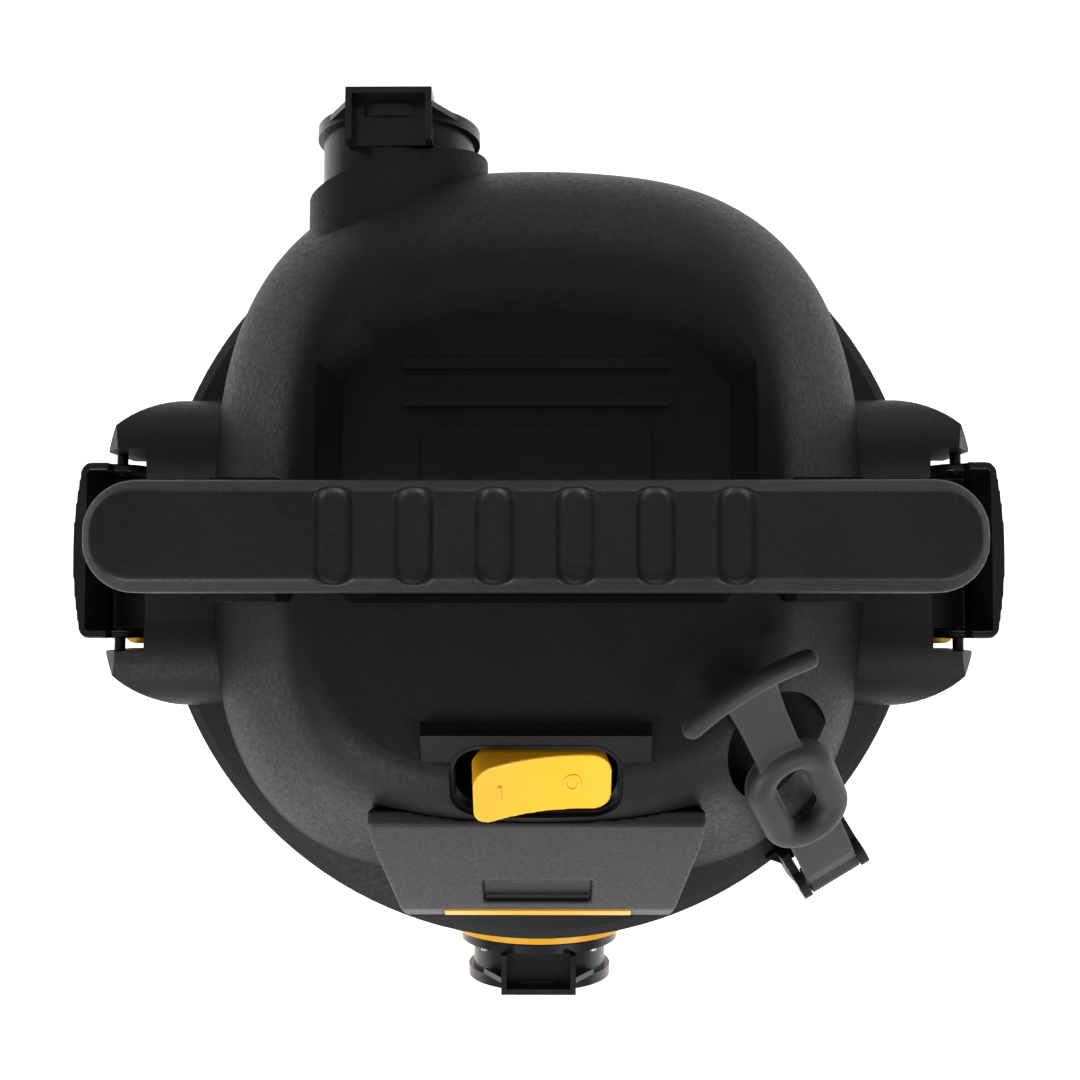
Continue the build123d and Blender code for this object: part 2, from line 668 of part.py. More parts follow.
def switch_pod(inset=0.0):
    """The raised block round the switch, with flared flanks."""
    half_top = POD_HALF_X - inset
    half_low = POD_HALF_X + 10 - inset
    body = prism_x([(-POD_LENGTH / 2 + inset, -POD_DEPTH), (-POD_LENGTH / 2 + inset, -6),
                    (-POD_LENGTH / 2 + 6 + inset, 1.5 - inset),
                    (POD_LENGTH / 2 - inset, 1.5 - inset), (POD_LENGTH / 2 - inset, -POD_DEPTH)], half_low)
    for side in (-1, 1):
        outline = [(side * half_top, 30.0), (side * half_top, -4.0), (side * half_low, -POD_DEPTH),
                   (side * 90, -POD_DEPTH - 1), (side * 90, 30.0)]
        wire = Polyline(*[(x, 0, z) for x, z in outline], close=True)
        body -= extrude(make_face(wire), 60, dir=(0, 1, 0), both=True)
    return SWITCH_FRAME * body


def handle_posts(low_z, high_z):
    posts = Part()
    for side in (-1, 1):
        span = sorted((side * POST_INNER_X, side * POST_OUTER_X))
        posts += block(span, (-POST_HALF_Y, POST_HALF_Y), (low_z, high_z))
    return posts


def handle_screw_spots():
    return [(side * x, y) for side in (-1, 1) for x in (108.5,) for y in (-11.0, 11.0)]


def boss_trim(back=0.0):
    """What is cut off the blower boss, so that its end slants with the cover's rear corner."""
    trim = Box(200, 100, 200, align=(Align.CENTER, Align.MIN, Align.CENTER))
    return Location((BLOWER_X, BLOWER_BOSS_Y - 4.0 - back, BLOWER_Z), (0, 0, BOSS_SLANT)) * trim


def make_motor_cover():
    outer = dome_solid()
    outer += switch_pod()
    outer += along_y(BLOWER_BOSS_R, 110, BLOWER_BOSS_Y + 20, BLOWER_X, BLOWER_Z) - boss_trim()
    outer += handle_posts(410, HANDLE_BOTTOM_Z)
    inner = dome_solid(DOME_WALL) + (switch_pod(DOME_WALL) & block((-80, 80), (-200, -60), (380, 500)))
    boss_hollow = along_y(BLOWER_BOSS_R - DOME_WALL, 90, BLOWER_BOSS_Y + 20, BLOWER_X, BLOWER_Z)
    inner += boss_hollow - boss_trim(DOME_WALL)
    for side in (-1, 1):
        span = sorted((side * (POST_INNER_X + 3.5), side * (POST_OUTER_X - 3.5)))
        inner += block(span, (-POST_HALF_Y + 3.5, POST_HALF_Y - 3.5), (400, HANDLE_BOTTOM_Z - 4))
    inner -= recess_cut(DOME_WALL)
    inner -= disc(POCKET_R + DOME_WALL, POCKET_FLOOR_Z - DOME_WALL, 500, POCKET_X, POCKET_Y)
    for x, y in COVER_SCREWS:
        inner -= disc(6.0, 350, 400, x, y)
    for x, y in handle_screw_spots():
        inner -= disc(5.0, HANDLE_BOTTOM_Z - 24, HANDLE_BOTTOM_Z, x, y)
    cover = outer - recess_cut() - inner - lid_envelope(SEAT)
    cover -= disc(POCKET_R, POCKET_FLOOR_Z, 500, POCKET_X, POCKET_Y)
    cover -= along_y(PORT_TUBE_R + SEAT, 100, 170, BLOWER_X, BLOWER_Z)
    cover -= along_y(CORD_HOLE_R, 130, 170, CORD_X, CORD_Z)
    cover -= SWITCH_FRAME * rounded_block(OPENING_X, OPENING_Y, -POD_DEPTH - 30, 10, OPENING_CORNER)
    for x, y in COVER_SCREWS:
        cover -= disc(1.8, 350, 392, x, y)
    for x, y in handle_screw_spots():
        cover -= disc(1.8, HANDLE_BOTTOM_Z - 22, HANDLE_BOTTOM_Z + 1, x, y)
    ears = ear_shape(-SEAT)
    cover -= ears + mirror_x(ears)
    for y in (57.0, 72.0):
        floor_z = DOME_TOP_Z - RECESS_DEPTH
        rib = block((-54, 54), (y - 2.35, y + 2.35), (floor_z - 0.5, floor_z + 1.4))
        cover += fillet(rib.edges().filter_by(Axis.Z), 2.3)
    return max(cover.solids(), key=lambda s: s.volume)


def make_cord_inlet():
    """The bush that the power cord would leave through."""
    bush = along_y(CORD_HOLE_R - SEAT, CORD_Y - 7, CORD_Y, CORD_X, CORD_Z)
    return bush - along_y(CORD_HOLE_R - 3.5, CORD_Y - 10, CORD_Y + 5, CORD_X, CORD_Z)


def make_name_plate():
    floor = DOME_TOP_Z - RECESS_DEPTH
    plate = block((-45.5, 45.5), (15, 46), (floor, floor + 1.6))
    return fillet(plate.edges().filter_by(Axis.Z), 2)


def make_cover_screws():
    seat = LID_DECK_Z - LID_WALL
    return [screw(Location((x, y, seat), (180, 0, 0)), 4.0, 2.4, 1.8, 20.0) for x, y in COVER_SCREWS]


# ---- front fascia -------------------------------------------------------------------------------
FASCIA_TOP = (-111.0, 441.0)
FASCIA_LIP = (-153.0, 389.0)
FASCIA_EDGE = (-156.5, 384.5)
FASCIA_FOOT = (-161.5, 373.0)
FASCIA_TOP_HALF_X = 66.5
FASCIA_LOW_HALF_X = 58.5
FASCIA_POCKET = 3.0


def fascia_body(extra=0.0):
    back_y = FASCIA_TOP[0] + 6.0 + extra
    body = prism_x([
        (back_y, FASCIA_TOP[1] + extra), (FASCIA_TOP[0], FASCIA_TOP[1] + extra),
        (FASCIA_LIP[0], FASCIA_LIP[1] + extra), (FASCIA_EDGE[0], FASCIA_EDGE[1]), FASCIA_FOOT,
        (FASCIA_FOOT[0] + 2, 367.0), (FASCIA_FOOT[0] + 12, 362.0), (back_y, 362.0),
    ], FASCIA_TOP_HALF_X + 12)
    for side in (-1, 1):
        low = side * (FASCIA_LOW_HALF_X + extra)
        high = side * (FASCIA_TOP_HALF_X + extra)
        body -= prism_z([
            (high, FASCIA_TOP[0] + 10), (high, FASCIA_TOP[0] - 8),
            (side * (FASCIA_TOP_HALF_X - 1.5 + extra), -128),
            (low, FASCIA_LIP[0] - 10), (side * 100, FASCIA_LIP[0] - 10), (side * 100, FASCIA_TOP[0] + 10),
        ], 350, 450)
    return body


def make_front_fascia():
    body = fascia_body()
    body -= dome_solid(-SEAT)
    body -= lid_envelope(SEAT)
    slope = degrees(atan2(FASCIA_TOP[1] - FASCIA_LIP[1], FASCIA_TOP[0] - FASCIA_LIP[0]))
    place = Location((0, FASCIA_LIP[0] + 7.0, FASCIA_LIP[1] + 8.7), (slope, 0, 0))
    body -= place * Box(46, 20, 2 * FASCIA_POCKET)
    body -= label_shape(SEAT)
    body = max(body.solids(), key=lambda s: s.volume)
    return body


def label_shape(extra=0.0):
    """The strip let into the fascia's front face."""
    run_y = FASCIA_FOOT[0] - FASCIA_EDGE[0]
    run_z = FASCIA_FOOT[1] - FASCIA_EDGE[1]
    tilt = degrees(atan2(-run_y, -run_z))
    middle = ((FASCIA_FOOT[0] + FASCIA_EDGE[0]) / 2, (FASCIA_FOOT[1] + FASCIA_EDGE[1]) / 2)
    strip = Box(81.4 + 2 * extra, 3.0 + extra, 9.0 + 2 * extra)
    return Location((0, middle[0] + 1.2, middle[1]), (-tilt, 0, 0)) * strip


# ---- handle -------------------------------------------------------------------------------------
def handle_plan(low_z, high_z, inset=0.0):
    """A bar with full round ends."""
    half_x = HANDLE_HALF_X - inset
    half_y = HANDLE_HALF_Y - inset
    bar = block((-half_x, half_x), (-half_y, half_y), (low_z, high_z))
    return fillet(bar.edges().filter_by(Axis.Z), half_y * 0.93)


def make_handle_upper():
    body = handle_plan(HANDLE_SPLIT_Z, HANDLE_TOP_Z)
    body = chamfer(body.edges().group_by(Axis.Z)[-1], 4.5)
    hollow = handle_plan(HANDLE_SPLIT_Z - 1, HANDLE_TOP_Z - FINGER_DEPTH - 4.0, 4.0)
    first = -(FINGER_COUNT - 1) * FINGER_PITCH / 2
    for index in range(FINGER_COUNT):
        x = first + index * FINGER_PITCH
        spot = block((x - FINGER_WIDTH / 2, x + FINGER_WIDTH / 2), (-FINGER_LENGTH / 2, FINGER_LENGTH / 2),
                     (HANDLE_TOP_Z - FINGER_DEPTH, HANDLE_TOP_Z + 2))
        spot = fillet(spot.edges().filter_by(Axis.Z), FINGER_WIDTH / 2 - 0.2)
        body -= chamfer(spot.edges().group_by(Axis.Z)[0], 2.4)
    body -= hollow
    for x in (-130.0, 0.0, 130.0):
        body += disc(5.0, HANDLE_SPLIT_Z, HANDLE_TOP_Z - 6, x)
        body -= disc(1.6, HANDLE_SPLIT_Z - 1, HANDLE_TOP_Z - 8, x)
    for x, y in handle_screw_spots():
        body -= disc(4.4, HANDLE_SPLIT_Z - 1, HANDLE_SPLIT_Z + 3, x, y)
    return body


def make_handle_lower():
    body = handle_plan(HANDLE_BOTTOM_Z, HANDLE_SPLIT_Z)
    body = chamfer(body.edges().group_by(Axis.Z)[0], 4.0)
    body -= handle_plan(HANDLE_BOTTOM_Z + 4.0, HANDLE_SPLIT_Z + 1, 4.0)
    for x in (-130.0, 0.0, 130.0):
        body += disc(5.0, HANDLE_BOTTOM_Z + 3, HANDLE_SPLIT_Z, x)
        body -= disc(1.9, HANDLE_BOTTOM_Z - 1, HANDLE_SPLIT_Z + 1, x)
        body -= disc(3.6, HANDLE_BOTTOM_Z - 1, HANDLE_BOTTOM_Z + 3, x)
    for x, y in handle_screw_spots():
        body -= disc(2.0, HANDLE_BOTTOM_Z - 1, HANDLE_BOTTOM_Z + 6, x, y)
    return body


def make_handle_screws():
    found = []
    for x, y in handle_screw_spots():
        found.append(screw(Location((x, y, HANDLE_BOTTOM_Z + 4)), 3.8, 2.4, 1.8, 18.0))
    for x in (-130.0, 0.0, 130.0):
        found.append(screw(Location((x, 0, HANDLE_BOTTOM_Z + 3), (180, 0, 0)), 3.2, 2.0, 1.6, 16.0))
    return found


# ---- switch -------------------------------------------------------------------------------------
BEZEL_BACK = -20.0
ROCKER_PIVOT = -5.0
ROCKER_END_Z = 9.0


def make_switch_bezel():
    corner = OPENING_CORNER - SEAT
    frame = rounded_block(OPENING_X - 2 * SEAT, OPENING_Y - 2 * SEAT, BEZEL_BACK, 1.8, corner)
    frame -= rounded_block(ROCKER_X + 9.0, ROCKER_Y + 1.2, BEZEL_BACK - 1, -1.5, 11.0)
    frame -= rounded_block(OPENING_X - 3.0, OPENING_Y - 3.0, -1.6, 4, corner - 1.5)
    axle = Location((0, 0, ROCKER_PIVOT), (90, 0, 0)) * Cylinder(2.0, ROCKER_Y + 6)
    return SWITCH_FRAME * (frame - axle)


def make_switch_module():
    body = block((-ROCKER_X / 2 + 2, ROCKER_X / 2 - 2), (-ROCKER_Y / 2 + 2, ROCKER_Y / 2 - 2),
                 (BEZEL_BACK - 16, BEZEL_BACK))
    pins = Part()
    for x in (-15, -5, 5, 15):
        pins += block((x - 3, x + 3), (-0.5, 0.5), (BEZEL_BACK - 22, BEZEL_BACK - 16))
    flange = block((-OPENING_X / 2 + 0.3, OPENING_X / 2 - 0.3), (-OPENING_Y / 2 + 0.3, OPENING_Y / 2 - 0.3),
                   (BEZEL_BACK - 2, BEZEL_BACK))
    return SWITCH_FRAME * (body + pins + flange)


def make_rocker():
    """A tall, hollow-topped paddle on two stub axles; at rest its left end stands up."""
    half = ROCKER_X / 2
    foot = 11.0
    left = (-half, ROCKER_END_Z)
    right = (half, ROCKER_END_Z)
    lines = [
        Edge.make_three_point_arc((left[0], 0, left[1]), (0, 0, ROCKER_END_Z - 4.2), (right[0], 0, right[1])),
        Edge.make_line((right[0], 0, right[1]), (half - 1.5, 0, ROCKER_PIVOT + 2)),
        Edge.make_line((half - 1.5, 0, ROCKER_PIVOT + 2), (foot, 0, ROCKER_PIVOT - 8)),
        Edge.make_line((foot, 0, ROCKER_PIVOT - 8), (-foot, 0, ROCKER_PIVOT - 8)),
        Edge.make_line((-foot, 0, ROCKER_PIVOT - 8), (-half + 1.5, 0, ROCKER_PIVOT + 2)),
        Edge.make_line((-half + 1.5, 0, ROCKER_PIVOT + 2), (left[0], 0, left[1])),
    ]
    body = extrude(make_face(Wire(lines)), ROCKER_Y / 2, dir=(0, 1, 0), both=True)
    plan = rounded_block(ROCKER_X, ROCKER_Y, ROCKER_PIVOT - 9, ROCKER_END_Z + 2, 8.0)
    body = body & plan
    body = Pos(0, 0, -ROCKER_PIVOT) * body
    body += Location((0, 0, 0), (90, 0, 0)) * Cylinder(2.0 - RUNNING, ROCKER_Y + 4.6)
    return SWITCH_FRAME * Location((0, 0, ROCKER_PIVOT), (0, ROCKER_ANGLE, 0)) * body


# ---- latches ------------------------------------------------------------------------------------
def make_latch():
    """The right-hand latch: a bulged outer plate, two cheeks, a web and a hook."""
    wall = LATCH_WALL
    inner_x = LATCH_PIVOT_X - 13
    corner = 5.0
    flat_x = LATCH_OUTER_X - 2.0
    half = LATCH_HALF_Y
    lines = [
        Edge.make_line((inner_x, -half, 0), (flat_x - corner, -half, 0)),
        Edge.make_three_point_arc(
            (flat_x - corner, -half, 0), (flat_x - 1.4, -half + 1.6, 0), (flat_x, -half + corner, 0)),
        Edge.make_three_point_arc(
            (flat_x, -half + corner, 0), (flat_x + LATCH_BULGE, 0, 0), (flat_x, half - corner, 0)),
        Edge.make_three_point_arc(
            (flat_x, half - corner, 0), (flat_x - 1.4, half - 1.6, 0), (flat_x - corner, half, 0)),
        Edge.make_line((flat_x - corner, half, 0), (inner_x, half, 0)),
        Edge.make_line((inner_x, half, 0), (inner_x, -half, 0)),
    ]
    body = extrude(make_face(Wire(lines)), LATCH_TOP_Z - LATCH_FOOT_Z, dir=(0, 0, 1))
    body = Pos(0, 0, LATCH_FOOT_Z) * body
    half = LATCH_HALF_Y - wall
    plate_x = LATCH_OUTER_X - wall - 1.5
    body -= block((inner_x - 1, plate_x), (-half, half), (LATCH_FOOT_Z - 1, LATCH_TOP_Z + 1))
    web = block((inner_x + 3, LATCH_OUTER_X - wall - 0.5), (-half - 1, half + 1), (346, 349))
    below = block((inner_x - 1, LATCH_OUTER_X - wall), (-60, 60), (LATCH_FOOT_Z - 1, 344))
    round_top = Location((LATCH_PIVOT_X, 0, LATCH_PIVOT_Z), (90, 0, 0)) * Cylinder(13.0, 100)
    corner = block((inner_x - 1, LATCH_PIVOT_X), (-60, 60), (LATCH_PIVOT_Z, LATCH_TOP_Z + 5)) - round_top
    body = body + web - below - corner
    hook_z = TANK_EAR_Z[0] - HOOK_GAP
    body += block((LATCH_PIVOT_X - 1, LATCH_OUTER_X - 1), (-25, 25), (hook_z - 4.5, hook_z))
    for y in (-25, 0, 22):
        rib = Polyline((LATCH_OUTER_X - 7, y, hook_z - 4.5), (LATCH_OUTER_X - wall + 0.5, y, hook_z - 4.5),
                       (LATCH_OUTER_X - wall + 0.5, y, LATCH_FOOT_Z), close=True)
        body += extrude(make_face(rib), 3, dir=(0, 1, 0))
    pin = Location((LATCH_PIVOT_X, 0, LATCH_PIVOT_Z), (90, 0, 0)) * Cylinder(LATCH_PIN_R + RUNNING, 200)
    return body - pin


# ---- strap --------------------------------------------------------------------------------------
def strap_place():
    """The strap's own frame: origin at its eye, X along the strap up over the cover, Z off its face."""
    return STRAP_FRAME * Pos(0, 0, STRAP_PIVOT_Z) * Rot(0, 0, 180) * Rot(0, -STRAP_TILT, 0)


def make_strap():
    length = STRAP_LENGTH
    eye = Location((0, 0, 0), (90, 0, 0)) * Cylinder(STRAP_EYE_R, STRAP_WIDTH)
    low = STRAP_OFFSET
    body = eye + block((0, length), (-STRAP_WIDTH / 2 + 1, STRAP_WIDTH / 2 - 1), (low, low + STRAP_THICK))
    oval = block((STRAP_RING_AT - 32, STRAP_RING_AT + 32), (-19.5, 19.5), (low - 1, low + 9))
    body += fillet(oval.edges().filter_by(Axis.Z), 19.0)
    hole = block((STRAP_RING_AT - 20, STRAP_RING_AT + 20), (-8, 8), (low - 5, low + 12))
    body -= fillet(hole.edges().filter_by(Axis.Z), 7.8)
    body += Location((length, 0, low + STRAP_THICK / 2), (90, 0, 0)) * Cylinder(T_BAR_R, T_BAR_LENGTH)
    body -= Location((0, 0, 0), (90, 0, 0)) * Cylinder(STRAP_PIN_R + RUNNING, 80)
    return strap_place() * body


# ---- motor and fan ------------------------------------------------------------------------------
def make_fan_housing():
    """The fan's drum; it stands on the lid's cup floor and carries the lower bearing."""
    floor = CUP_FLOOR_Z + LID_WALL - 0.5
    drum = ring(FAN_HOUSING_R, FAN_HOUSING_R - 2.5, floor, FAN_HOUSING_TOP_Z)
    drum += ring(FAN_HOUSING_R, FLOAT_SEAT_R + 4, floor, floor + 2.5)
    drum += disc(FAN_HOUSING_R, LOWER_BEARING_Z - 4, LOWER_BEARING_Z - 1.0)
    drum += ring(BEARING_R + 3.5, BEARING_R, LOWER_BEARING_Z - 1.5, LOWER_BEARING_Z + BEARING_WIDTH)
    drum -= disc(BEARING_R - 3, LOWER_BEARING_Z - 5, LOWER_BEARING_Z)
    window = block((-85, -35), (30, 80), (LID_DECK_Z + 1.0, LOWER_BEARING_Z - 4.5))
    return drum - (window & ring(FAN_HOUSING_R + 1, FAN_HOUSING_R - 4, 350, 400))


def make_exhaust_duct():
    """A box that leads the fan's air to the blower port."""
    outer = block((-92, -28), (48, BLOWER_INNER_Y - 0.5), (LID_DECK_Z, 428))
    inner = block((-90, -30), (50, BLOWER_INNER_Y + 1), (LID_DECK_Z + 2, 426))
    outer -= inner
    outer -= disc(FAN_HOUSING_R + SEAT, 350, 430)
    outer -= lid_envelope(SEAT)
    outer = outer & dome_solid(DOME_WALL + 1.0)
    return max(outer.solids(), key=lambda s: s.volume)


def make_bearing(low_z):
    inner_race = ring(SHAFT_R + 2, SHAFT_R, low_z, low_z + BEARING_WIDTH)
    outer_race = ring(BEARING_R, BEARING_R - 2, low_z, low_z + BEARING_WIDTH)
    shield = ring(BEARING_R - 1.9, SHAFT_R + 1.9, low_z + 0.6, low_z + BEARING_WIDTH - 0.6)
    return (inner_race + outer_race + shield) - disc(SHAFT_R + RUNNING, low_z - 1, low_z + BEARING_WIDTH + 1)


def make_stator():
    core = ring(STATOR_R, STATOR_BORE_R, *STACK_Z)
    for side in (-1, 1):
        slot = ring(STATOR_R - 6, STATOR_BORE_R - 1, STACK_Z[0] - 1, STACK_Z[1] + 1)
        core -= slot & block((-40, 40), sorted((side * 17, side * 30)), (STACK_Z[0] - 1, STACK_Z[1] + 1))
    return core


def make_field_coils():
    found = []
    for side in (-1, 1):
        coil = ring(STATOR_R - 6.5, STATOR_BORE_R + 0.8, STACK_Z[0] - 4, STACK_Z[1] + 3)
        span = sorted((side * 17.8, side * 29.2))
        found.append(coil & block((-34, 34), span, (STACK_Z[0] - 5, STACK_Z[1] + 4)))
    return found


def make_motor_frame():
    """The cup round the stator; it stands on the fan housing and holds the upper bearing."""
    low = LOWER_BEARING_Z - 1.0
    frame = ring(STATOR_R + 4, STATOR_R + SEAT / 2, low, MOTOR_TOP_Z)
    frame += ring(STATOR_R + 4, BEARING_R, UPPER_BEARING_Z, MOTOR_TOP_Z)
    frame += ring(STATOR_R + 4, SHAFT_R + 3, UPPER_BEARING_Z + BEARING_WIDTH, MOTOR_TOP_Z)
    for angle in range(0, 360, 45):
        vent = Rot(0, 0, angle) * block((STATOR_R - 2, STATOR_R + 8), (-8, 8), (low + 3, STACK_Z[0] - 5))
        frame -= vent
    for side in (-1, 1):
        span = sorted((side * (BEARING_R + 1), side * 40))
        frame -= block(span, (-4, 4), (UPPER_BEARING_Z - 1, UPPER_BEARING_Z + 0.4))
    return frame


def make_carbon_brushes():
    found = []
    for side in (-1, 1):
        span = sorted((side * (COMMUTATOR_R + GAP), side * (STATOR_R - 0.5)))
        found.append(block(span, (-3.5, 3.5), (COMMUTATOR_Z[0] + 1, COMMUTATOR_Z[1] - 0.5)))
    return found


def make_shaft():
    return disc(SHAFT_R, *SHAFT_Z)


def make_armature():
    core = ring(ARMATURE_R, SHAFT_R, *STACK_Z)
    slot = block((ARMATURE_R - 7, ARMATURE_R + 1), (-1.2, 1.2), (STACK_Z[0] - 1, STACK_Z[1] + 1))
    for index in range(16):
        core -= Rot(0, 0, index * 22.5) * slot
    return core


def make_commutator():
    body = ring(COMMUTATOR_R, SHAFT_R, *COMMUTATOR_Z)
    for index in range(16):
        cut_z = (COMMUTATOR_Z[0] - 1, COMMUTATOR_Z[1] + 1)
        cut = block((COMMUTATOR_R - 1.5, COMMUTATOR_R + 1), (-0.3, 0.3), cut_z)
        body -= Rot(0, 0, index * 22.5) * cut
    return body


def make_cooling_fan():
    low = LOWER_BEARING_Z + BEARING_WIDTH + 0.6
    fan = ring(9, SHAFT_R, low, low + 5) + ring(34, SHAFT_R, low, low + 1.2)
    for index in range(9):
        fan += Rot(0, 0, index * 40) * block((8, 34), (-0.8, 0.8), (low, low + 5))
    return fan


def make_impeller():
    low, high = FAN_Z
    fan = ring(FAN_R, SHAFT_R, high - 1.5, high) + ring(FAN_R, FLOAT_SEAT_R + 6, low, low + 1.5)
    fan += ring(12, SHAFT_R, low + 2, high)
    for index in range(8):
        blade = block((11.5, FAN_R - 0.5), (-0.9, 0.9), (low + 0.5, high - 0.5))
        fan += Rot(0, 0, index * 45) * blade
    return fan


def make_impeller_nut():
    nut = extrude(RegularPolygon(8.0, 6), 5)
    nut = Pos(0, 0, FAN_Z[0] - 3.5) * nut
    nut = nut & disc(10, FAN_Z[0] - 4, FAN_Z[0] + 2)
    return nut - disc(SHAFT_R, 300, 400)


# ---- filter and float ---------------------------------------------------------------------------
def make_float_cage():
    cage = ring(CAGE_R, CAGE_R - CAGE_WALL, CAGE_FLOOR_Z, CUP_FLOOR_Z)
    cage += disc(CAGE_R, CAGE_FLOOR_Z - 4, CAGE_FLOOR_Z)
    cage += ring(CAGE_R + 24, CAGE_R - CAGE_WALL, CUP_FLOOR_Z - 4, CUP_FLOOR_Z)
    cage += disc(STUD_R, STUD_END_Z, CAGE_FLOOR_Z - 3)
    for index in range(8):
        slot = block((CAGE_R - 8, CAGE_R + 4), (-5, 5), (CAGE_FLOOR_Z + 6, CUP_FLOOR_Z - 14))
        cage -= Rot(0, 0, index * 45 + 22.5) * slot
    for side in (-1, 1):
        span = sorted((side * (STUD_R - 1), side * (STUD_R + 3)))
        cage += block(span, (-1.5, 1.5), (STUD_END_Z, STUD_END_Z + 4))
    return cage


def make_float_ball():
    return Pos(0, 0, CAGE_FLOOR_Z + FLOAT_R + 0.1) * (Sphere(FLOAT_R) - Sphere(FLOAT_R - FLOAT_WALL))


def pleat_star(z_low, z_high, inset=0.0):
    points = []
    for index in range(2 * PLEATS):
        radius = (FILTER_R if index % 2 == 0 else FILTER_INNER_R + 2) - inset
        angle = pi * index / PLEATS
        points.append((radius * cos(angle), radius * sin(angle)))
    return prism_z(points, z_low, z_high)


def make_filter_pleats():
    low, high = FILTER_BASE_Z + 6, FILTER_TOP_Z - 8
    spread = PAPER / sin(atan2(pi * FILTER_R / PLEATS, FILTER_R - FILTER_INNER_R))
    return pleat_star(low, high) - pleat_star(low - 1, high + 1, spread)


def make_filter_rim():
    rim = ring(FILTER_R + 2, FILTER_INNER_R - 4, FILTER_TOP_Z - 8, FILTER_TOP_Z)
    return rim


def make_filter_base():
    base = disc(FILTER_R + 2, FILTER_BASE_Z, FILTER_BASE_Z + 6) - disc(STUD_R + 5, 200, 300)
    base += disc(FILTER_INNER_R - 2, FILTER_BASE_Z - 4, FILTER_BASE_Z)
    return base - disc(STUD_R + 5, FILTER_BASE_Z - 6, FILTER_BASE_Z + 8)


def make_filter_lock():
    """The quarter-turn knob under the filter."""
    top = FILTER_BASE_Z - 4 - GAP
    knob = disc(24, top - 3, top) + disc(12, top - LOCK_THICK, top)
    knob += block((-22, 22), (-3.5, 3.5), (top - LOCK_THICK, top - 2))
    return knob - disc(STUD_R + RUNNING, 100, 300)


# ---- the whole vacuum ---------------------------------------------------------------------------
def make_all():
    keep("tank", make_tank())
    keep("inlet_port", make_inlet_port())
    keep("inlet_gasket", make_inlet_gasket())
    keep("inlet_deflector", make_inlet_deflector())
    fork, axle, wheel = make_fork(), make_axle(), make_wheel()
    for name, side in CASTERS.items():
        spot = Pos(side[0] * CASTER_X, side[1] * CASTER_Y, 0)
        keep("caster_foot_" + name, make_foot(side))
        keep("caster_fork_" + name, spot * fork)
        keep("caster_axle_" + name, spot * axle)
        keep("caster_wheel_" + name, spot * wheel)
    keep("tank_screws", *make_foot_screws(), *make_inlet_screws())
    keep("lid_collar", make_lid_collar())
    keep("lid_gasket", ring(RIM_R - 0.5, 158.5, TANK_RIM_Z, TANK_RIM_Z + GASKET_THICK))
    keep("latch_pins", *make_latch_pins())
    keep("strap_pin", make_strap_pin())
    keep("motor_cover", make_motor_cover())
    keep("name_plate", make_name_plate())
    keep("front_fascia", make_front_fascia())
    keep("front_label", label_shape())
    keep("handle_upper", make_handle_upper())
    keep("handle_lower", make_handle_lower())
    keep("head_screws", *make_handle_screws(), *make_cover_screws())
    keep("switch_bezel", make_switch_bezel())
    keep("switch_module", make_switch_module())
    keep("rocker", make_rocker())
    keep("blower_port", make_blower_port())
    keep("cord_inlet", make_cord_inlet())
    latch = make_latch()
    keep("latch_right", latch)
    keep("latch_left", mirror_x(latch))
    keep("rubber_strap", make_strap())
    keep("fan_housing", make_fan_housing())
    keep("exhaust_duct", make_exhaust_duct())
    keep("bearings", make_bearing(LOWER_BEARING_Z), make_bearing(UPPER_BEARING_Z))
    keep("stator_core", make_stator())
    keep("field_coils", *make_field_coils())
    keep("motor_frame", make_motor_frame())
    keep("carbon_brushes", *make_carbon_brushes())
    keep("motor_shaft", make_shaft())
    keep("armature_core", make_armature())
    keep("commutator", make_commutator())
    keep("cooling_fan", make_cooling_fan())
    keep("impeller", make_impeller())
    keep("impeller_nut", make_impeller_nut())
    keep("float_cage", make_float_cage())
    keep("float_ball", make_float_ball())
    keep("filter_pleats", make_filter_pleats())
    keep("filter_rim", make_filter_rim())
    keep("filter_base", make_filter_base())
    keep("filter_lock", make_filter_lock())


make_all()
os.makedirs("parts", exist_ok=True)
for part_name, shape in PARTS.items():
    export_step(shape, "parts/" + part_name + ".step")
    print(part_name, round(shape.volume))
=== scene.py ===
import json
import math

import bmesh
import bpy
from mathutils import Matrix, Vector
from mathutils.bvhtree import BVHTree


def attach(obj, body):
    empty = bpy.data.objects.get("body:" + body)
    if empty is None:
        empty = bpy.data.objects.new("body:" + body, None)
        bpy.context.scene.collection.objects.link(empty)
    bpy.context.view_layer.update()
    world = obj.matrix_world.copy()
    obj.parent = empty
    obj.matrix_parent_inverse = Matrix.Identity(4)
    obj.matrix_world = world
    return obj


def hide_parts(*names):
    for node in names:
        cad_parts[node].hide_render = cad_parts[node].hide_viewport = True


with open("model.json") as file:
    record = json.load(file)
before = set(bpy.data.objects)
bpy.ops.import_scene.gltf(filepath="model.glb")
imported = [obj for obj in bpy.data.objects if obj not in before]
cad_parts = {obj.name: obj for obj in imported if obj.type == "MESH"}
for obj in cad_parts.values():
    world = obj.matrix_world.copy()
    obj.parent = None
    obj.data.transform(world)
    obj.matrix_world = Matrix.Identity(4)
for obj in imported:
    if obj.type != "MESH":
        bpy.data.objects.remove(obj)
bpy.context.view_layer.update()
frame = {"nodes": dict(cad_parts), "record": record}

MM = 0.001
SCENE = bpy.context.scene
SCENE.view_settings.view_transform = "Standard"


# ---- shader helpers -----------------------------------------------------------------------------
def new_material(name):
    """A node material with an empty Principled surface; gives (material, nodes, links, shader)."""
    material = bpy.data.materials.new(name)
    material.use_nodes = True
    nodes, links = material.node_tree.nodes, material.node_tree.links
    return material, nodes, links, nodes["Principled BSDF"]


def object_coordinates(nodes):
    return nodes.new("ShaderNodeTexCoord").outputs["Object"]


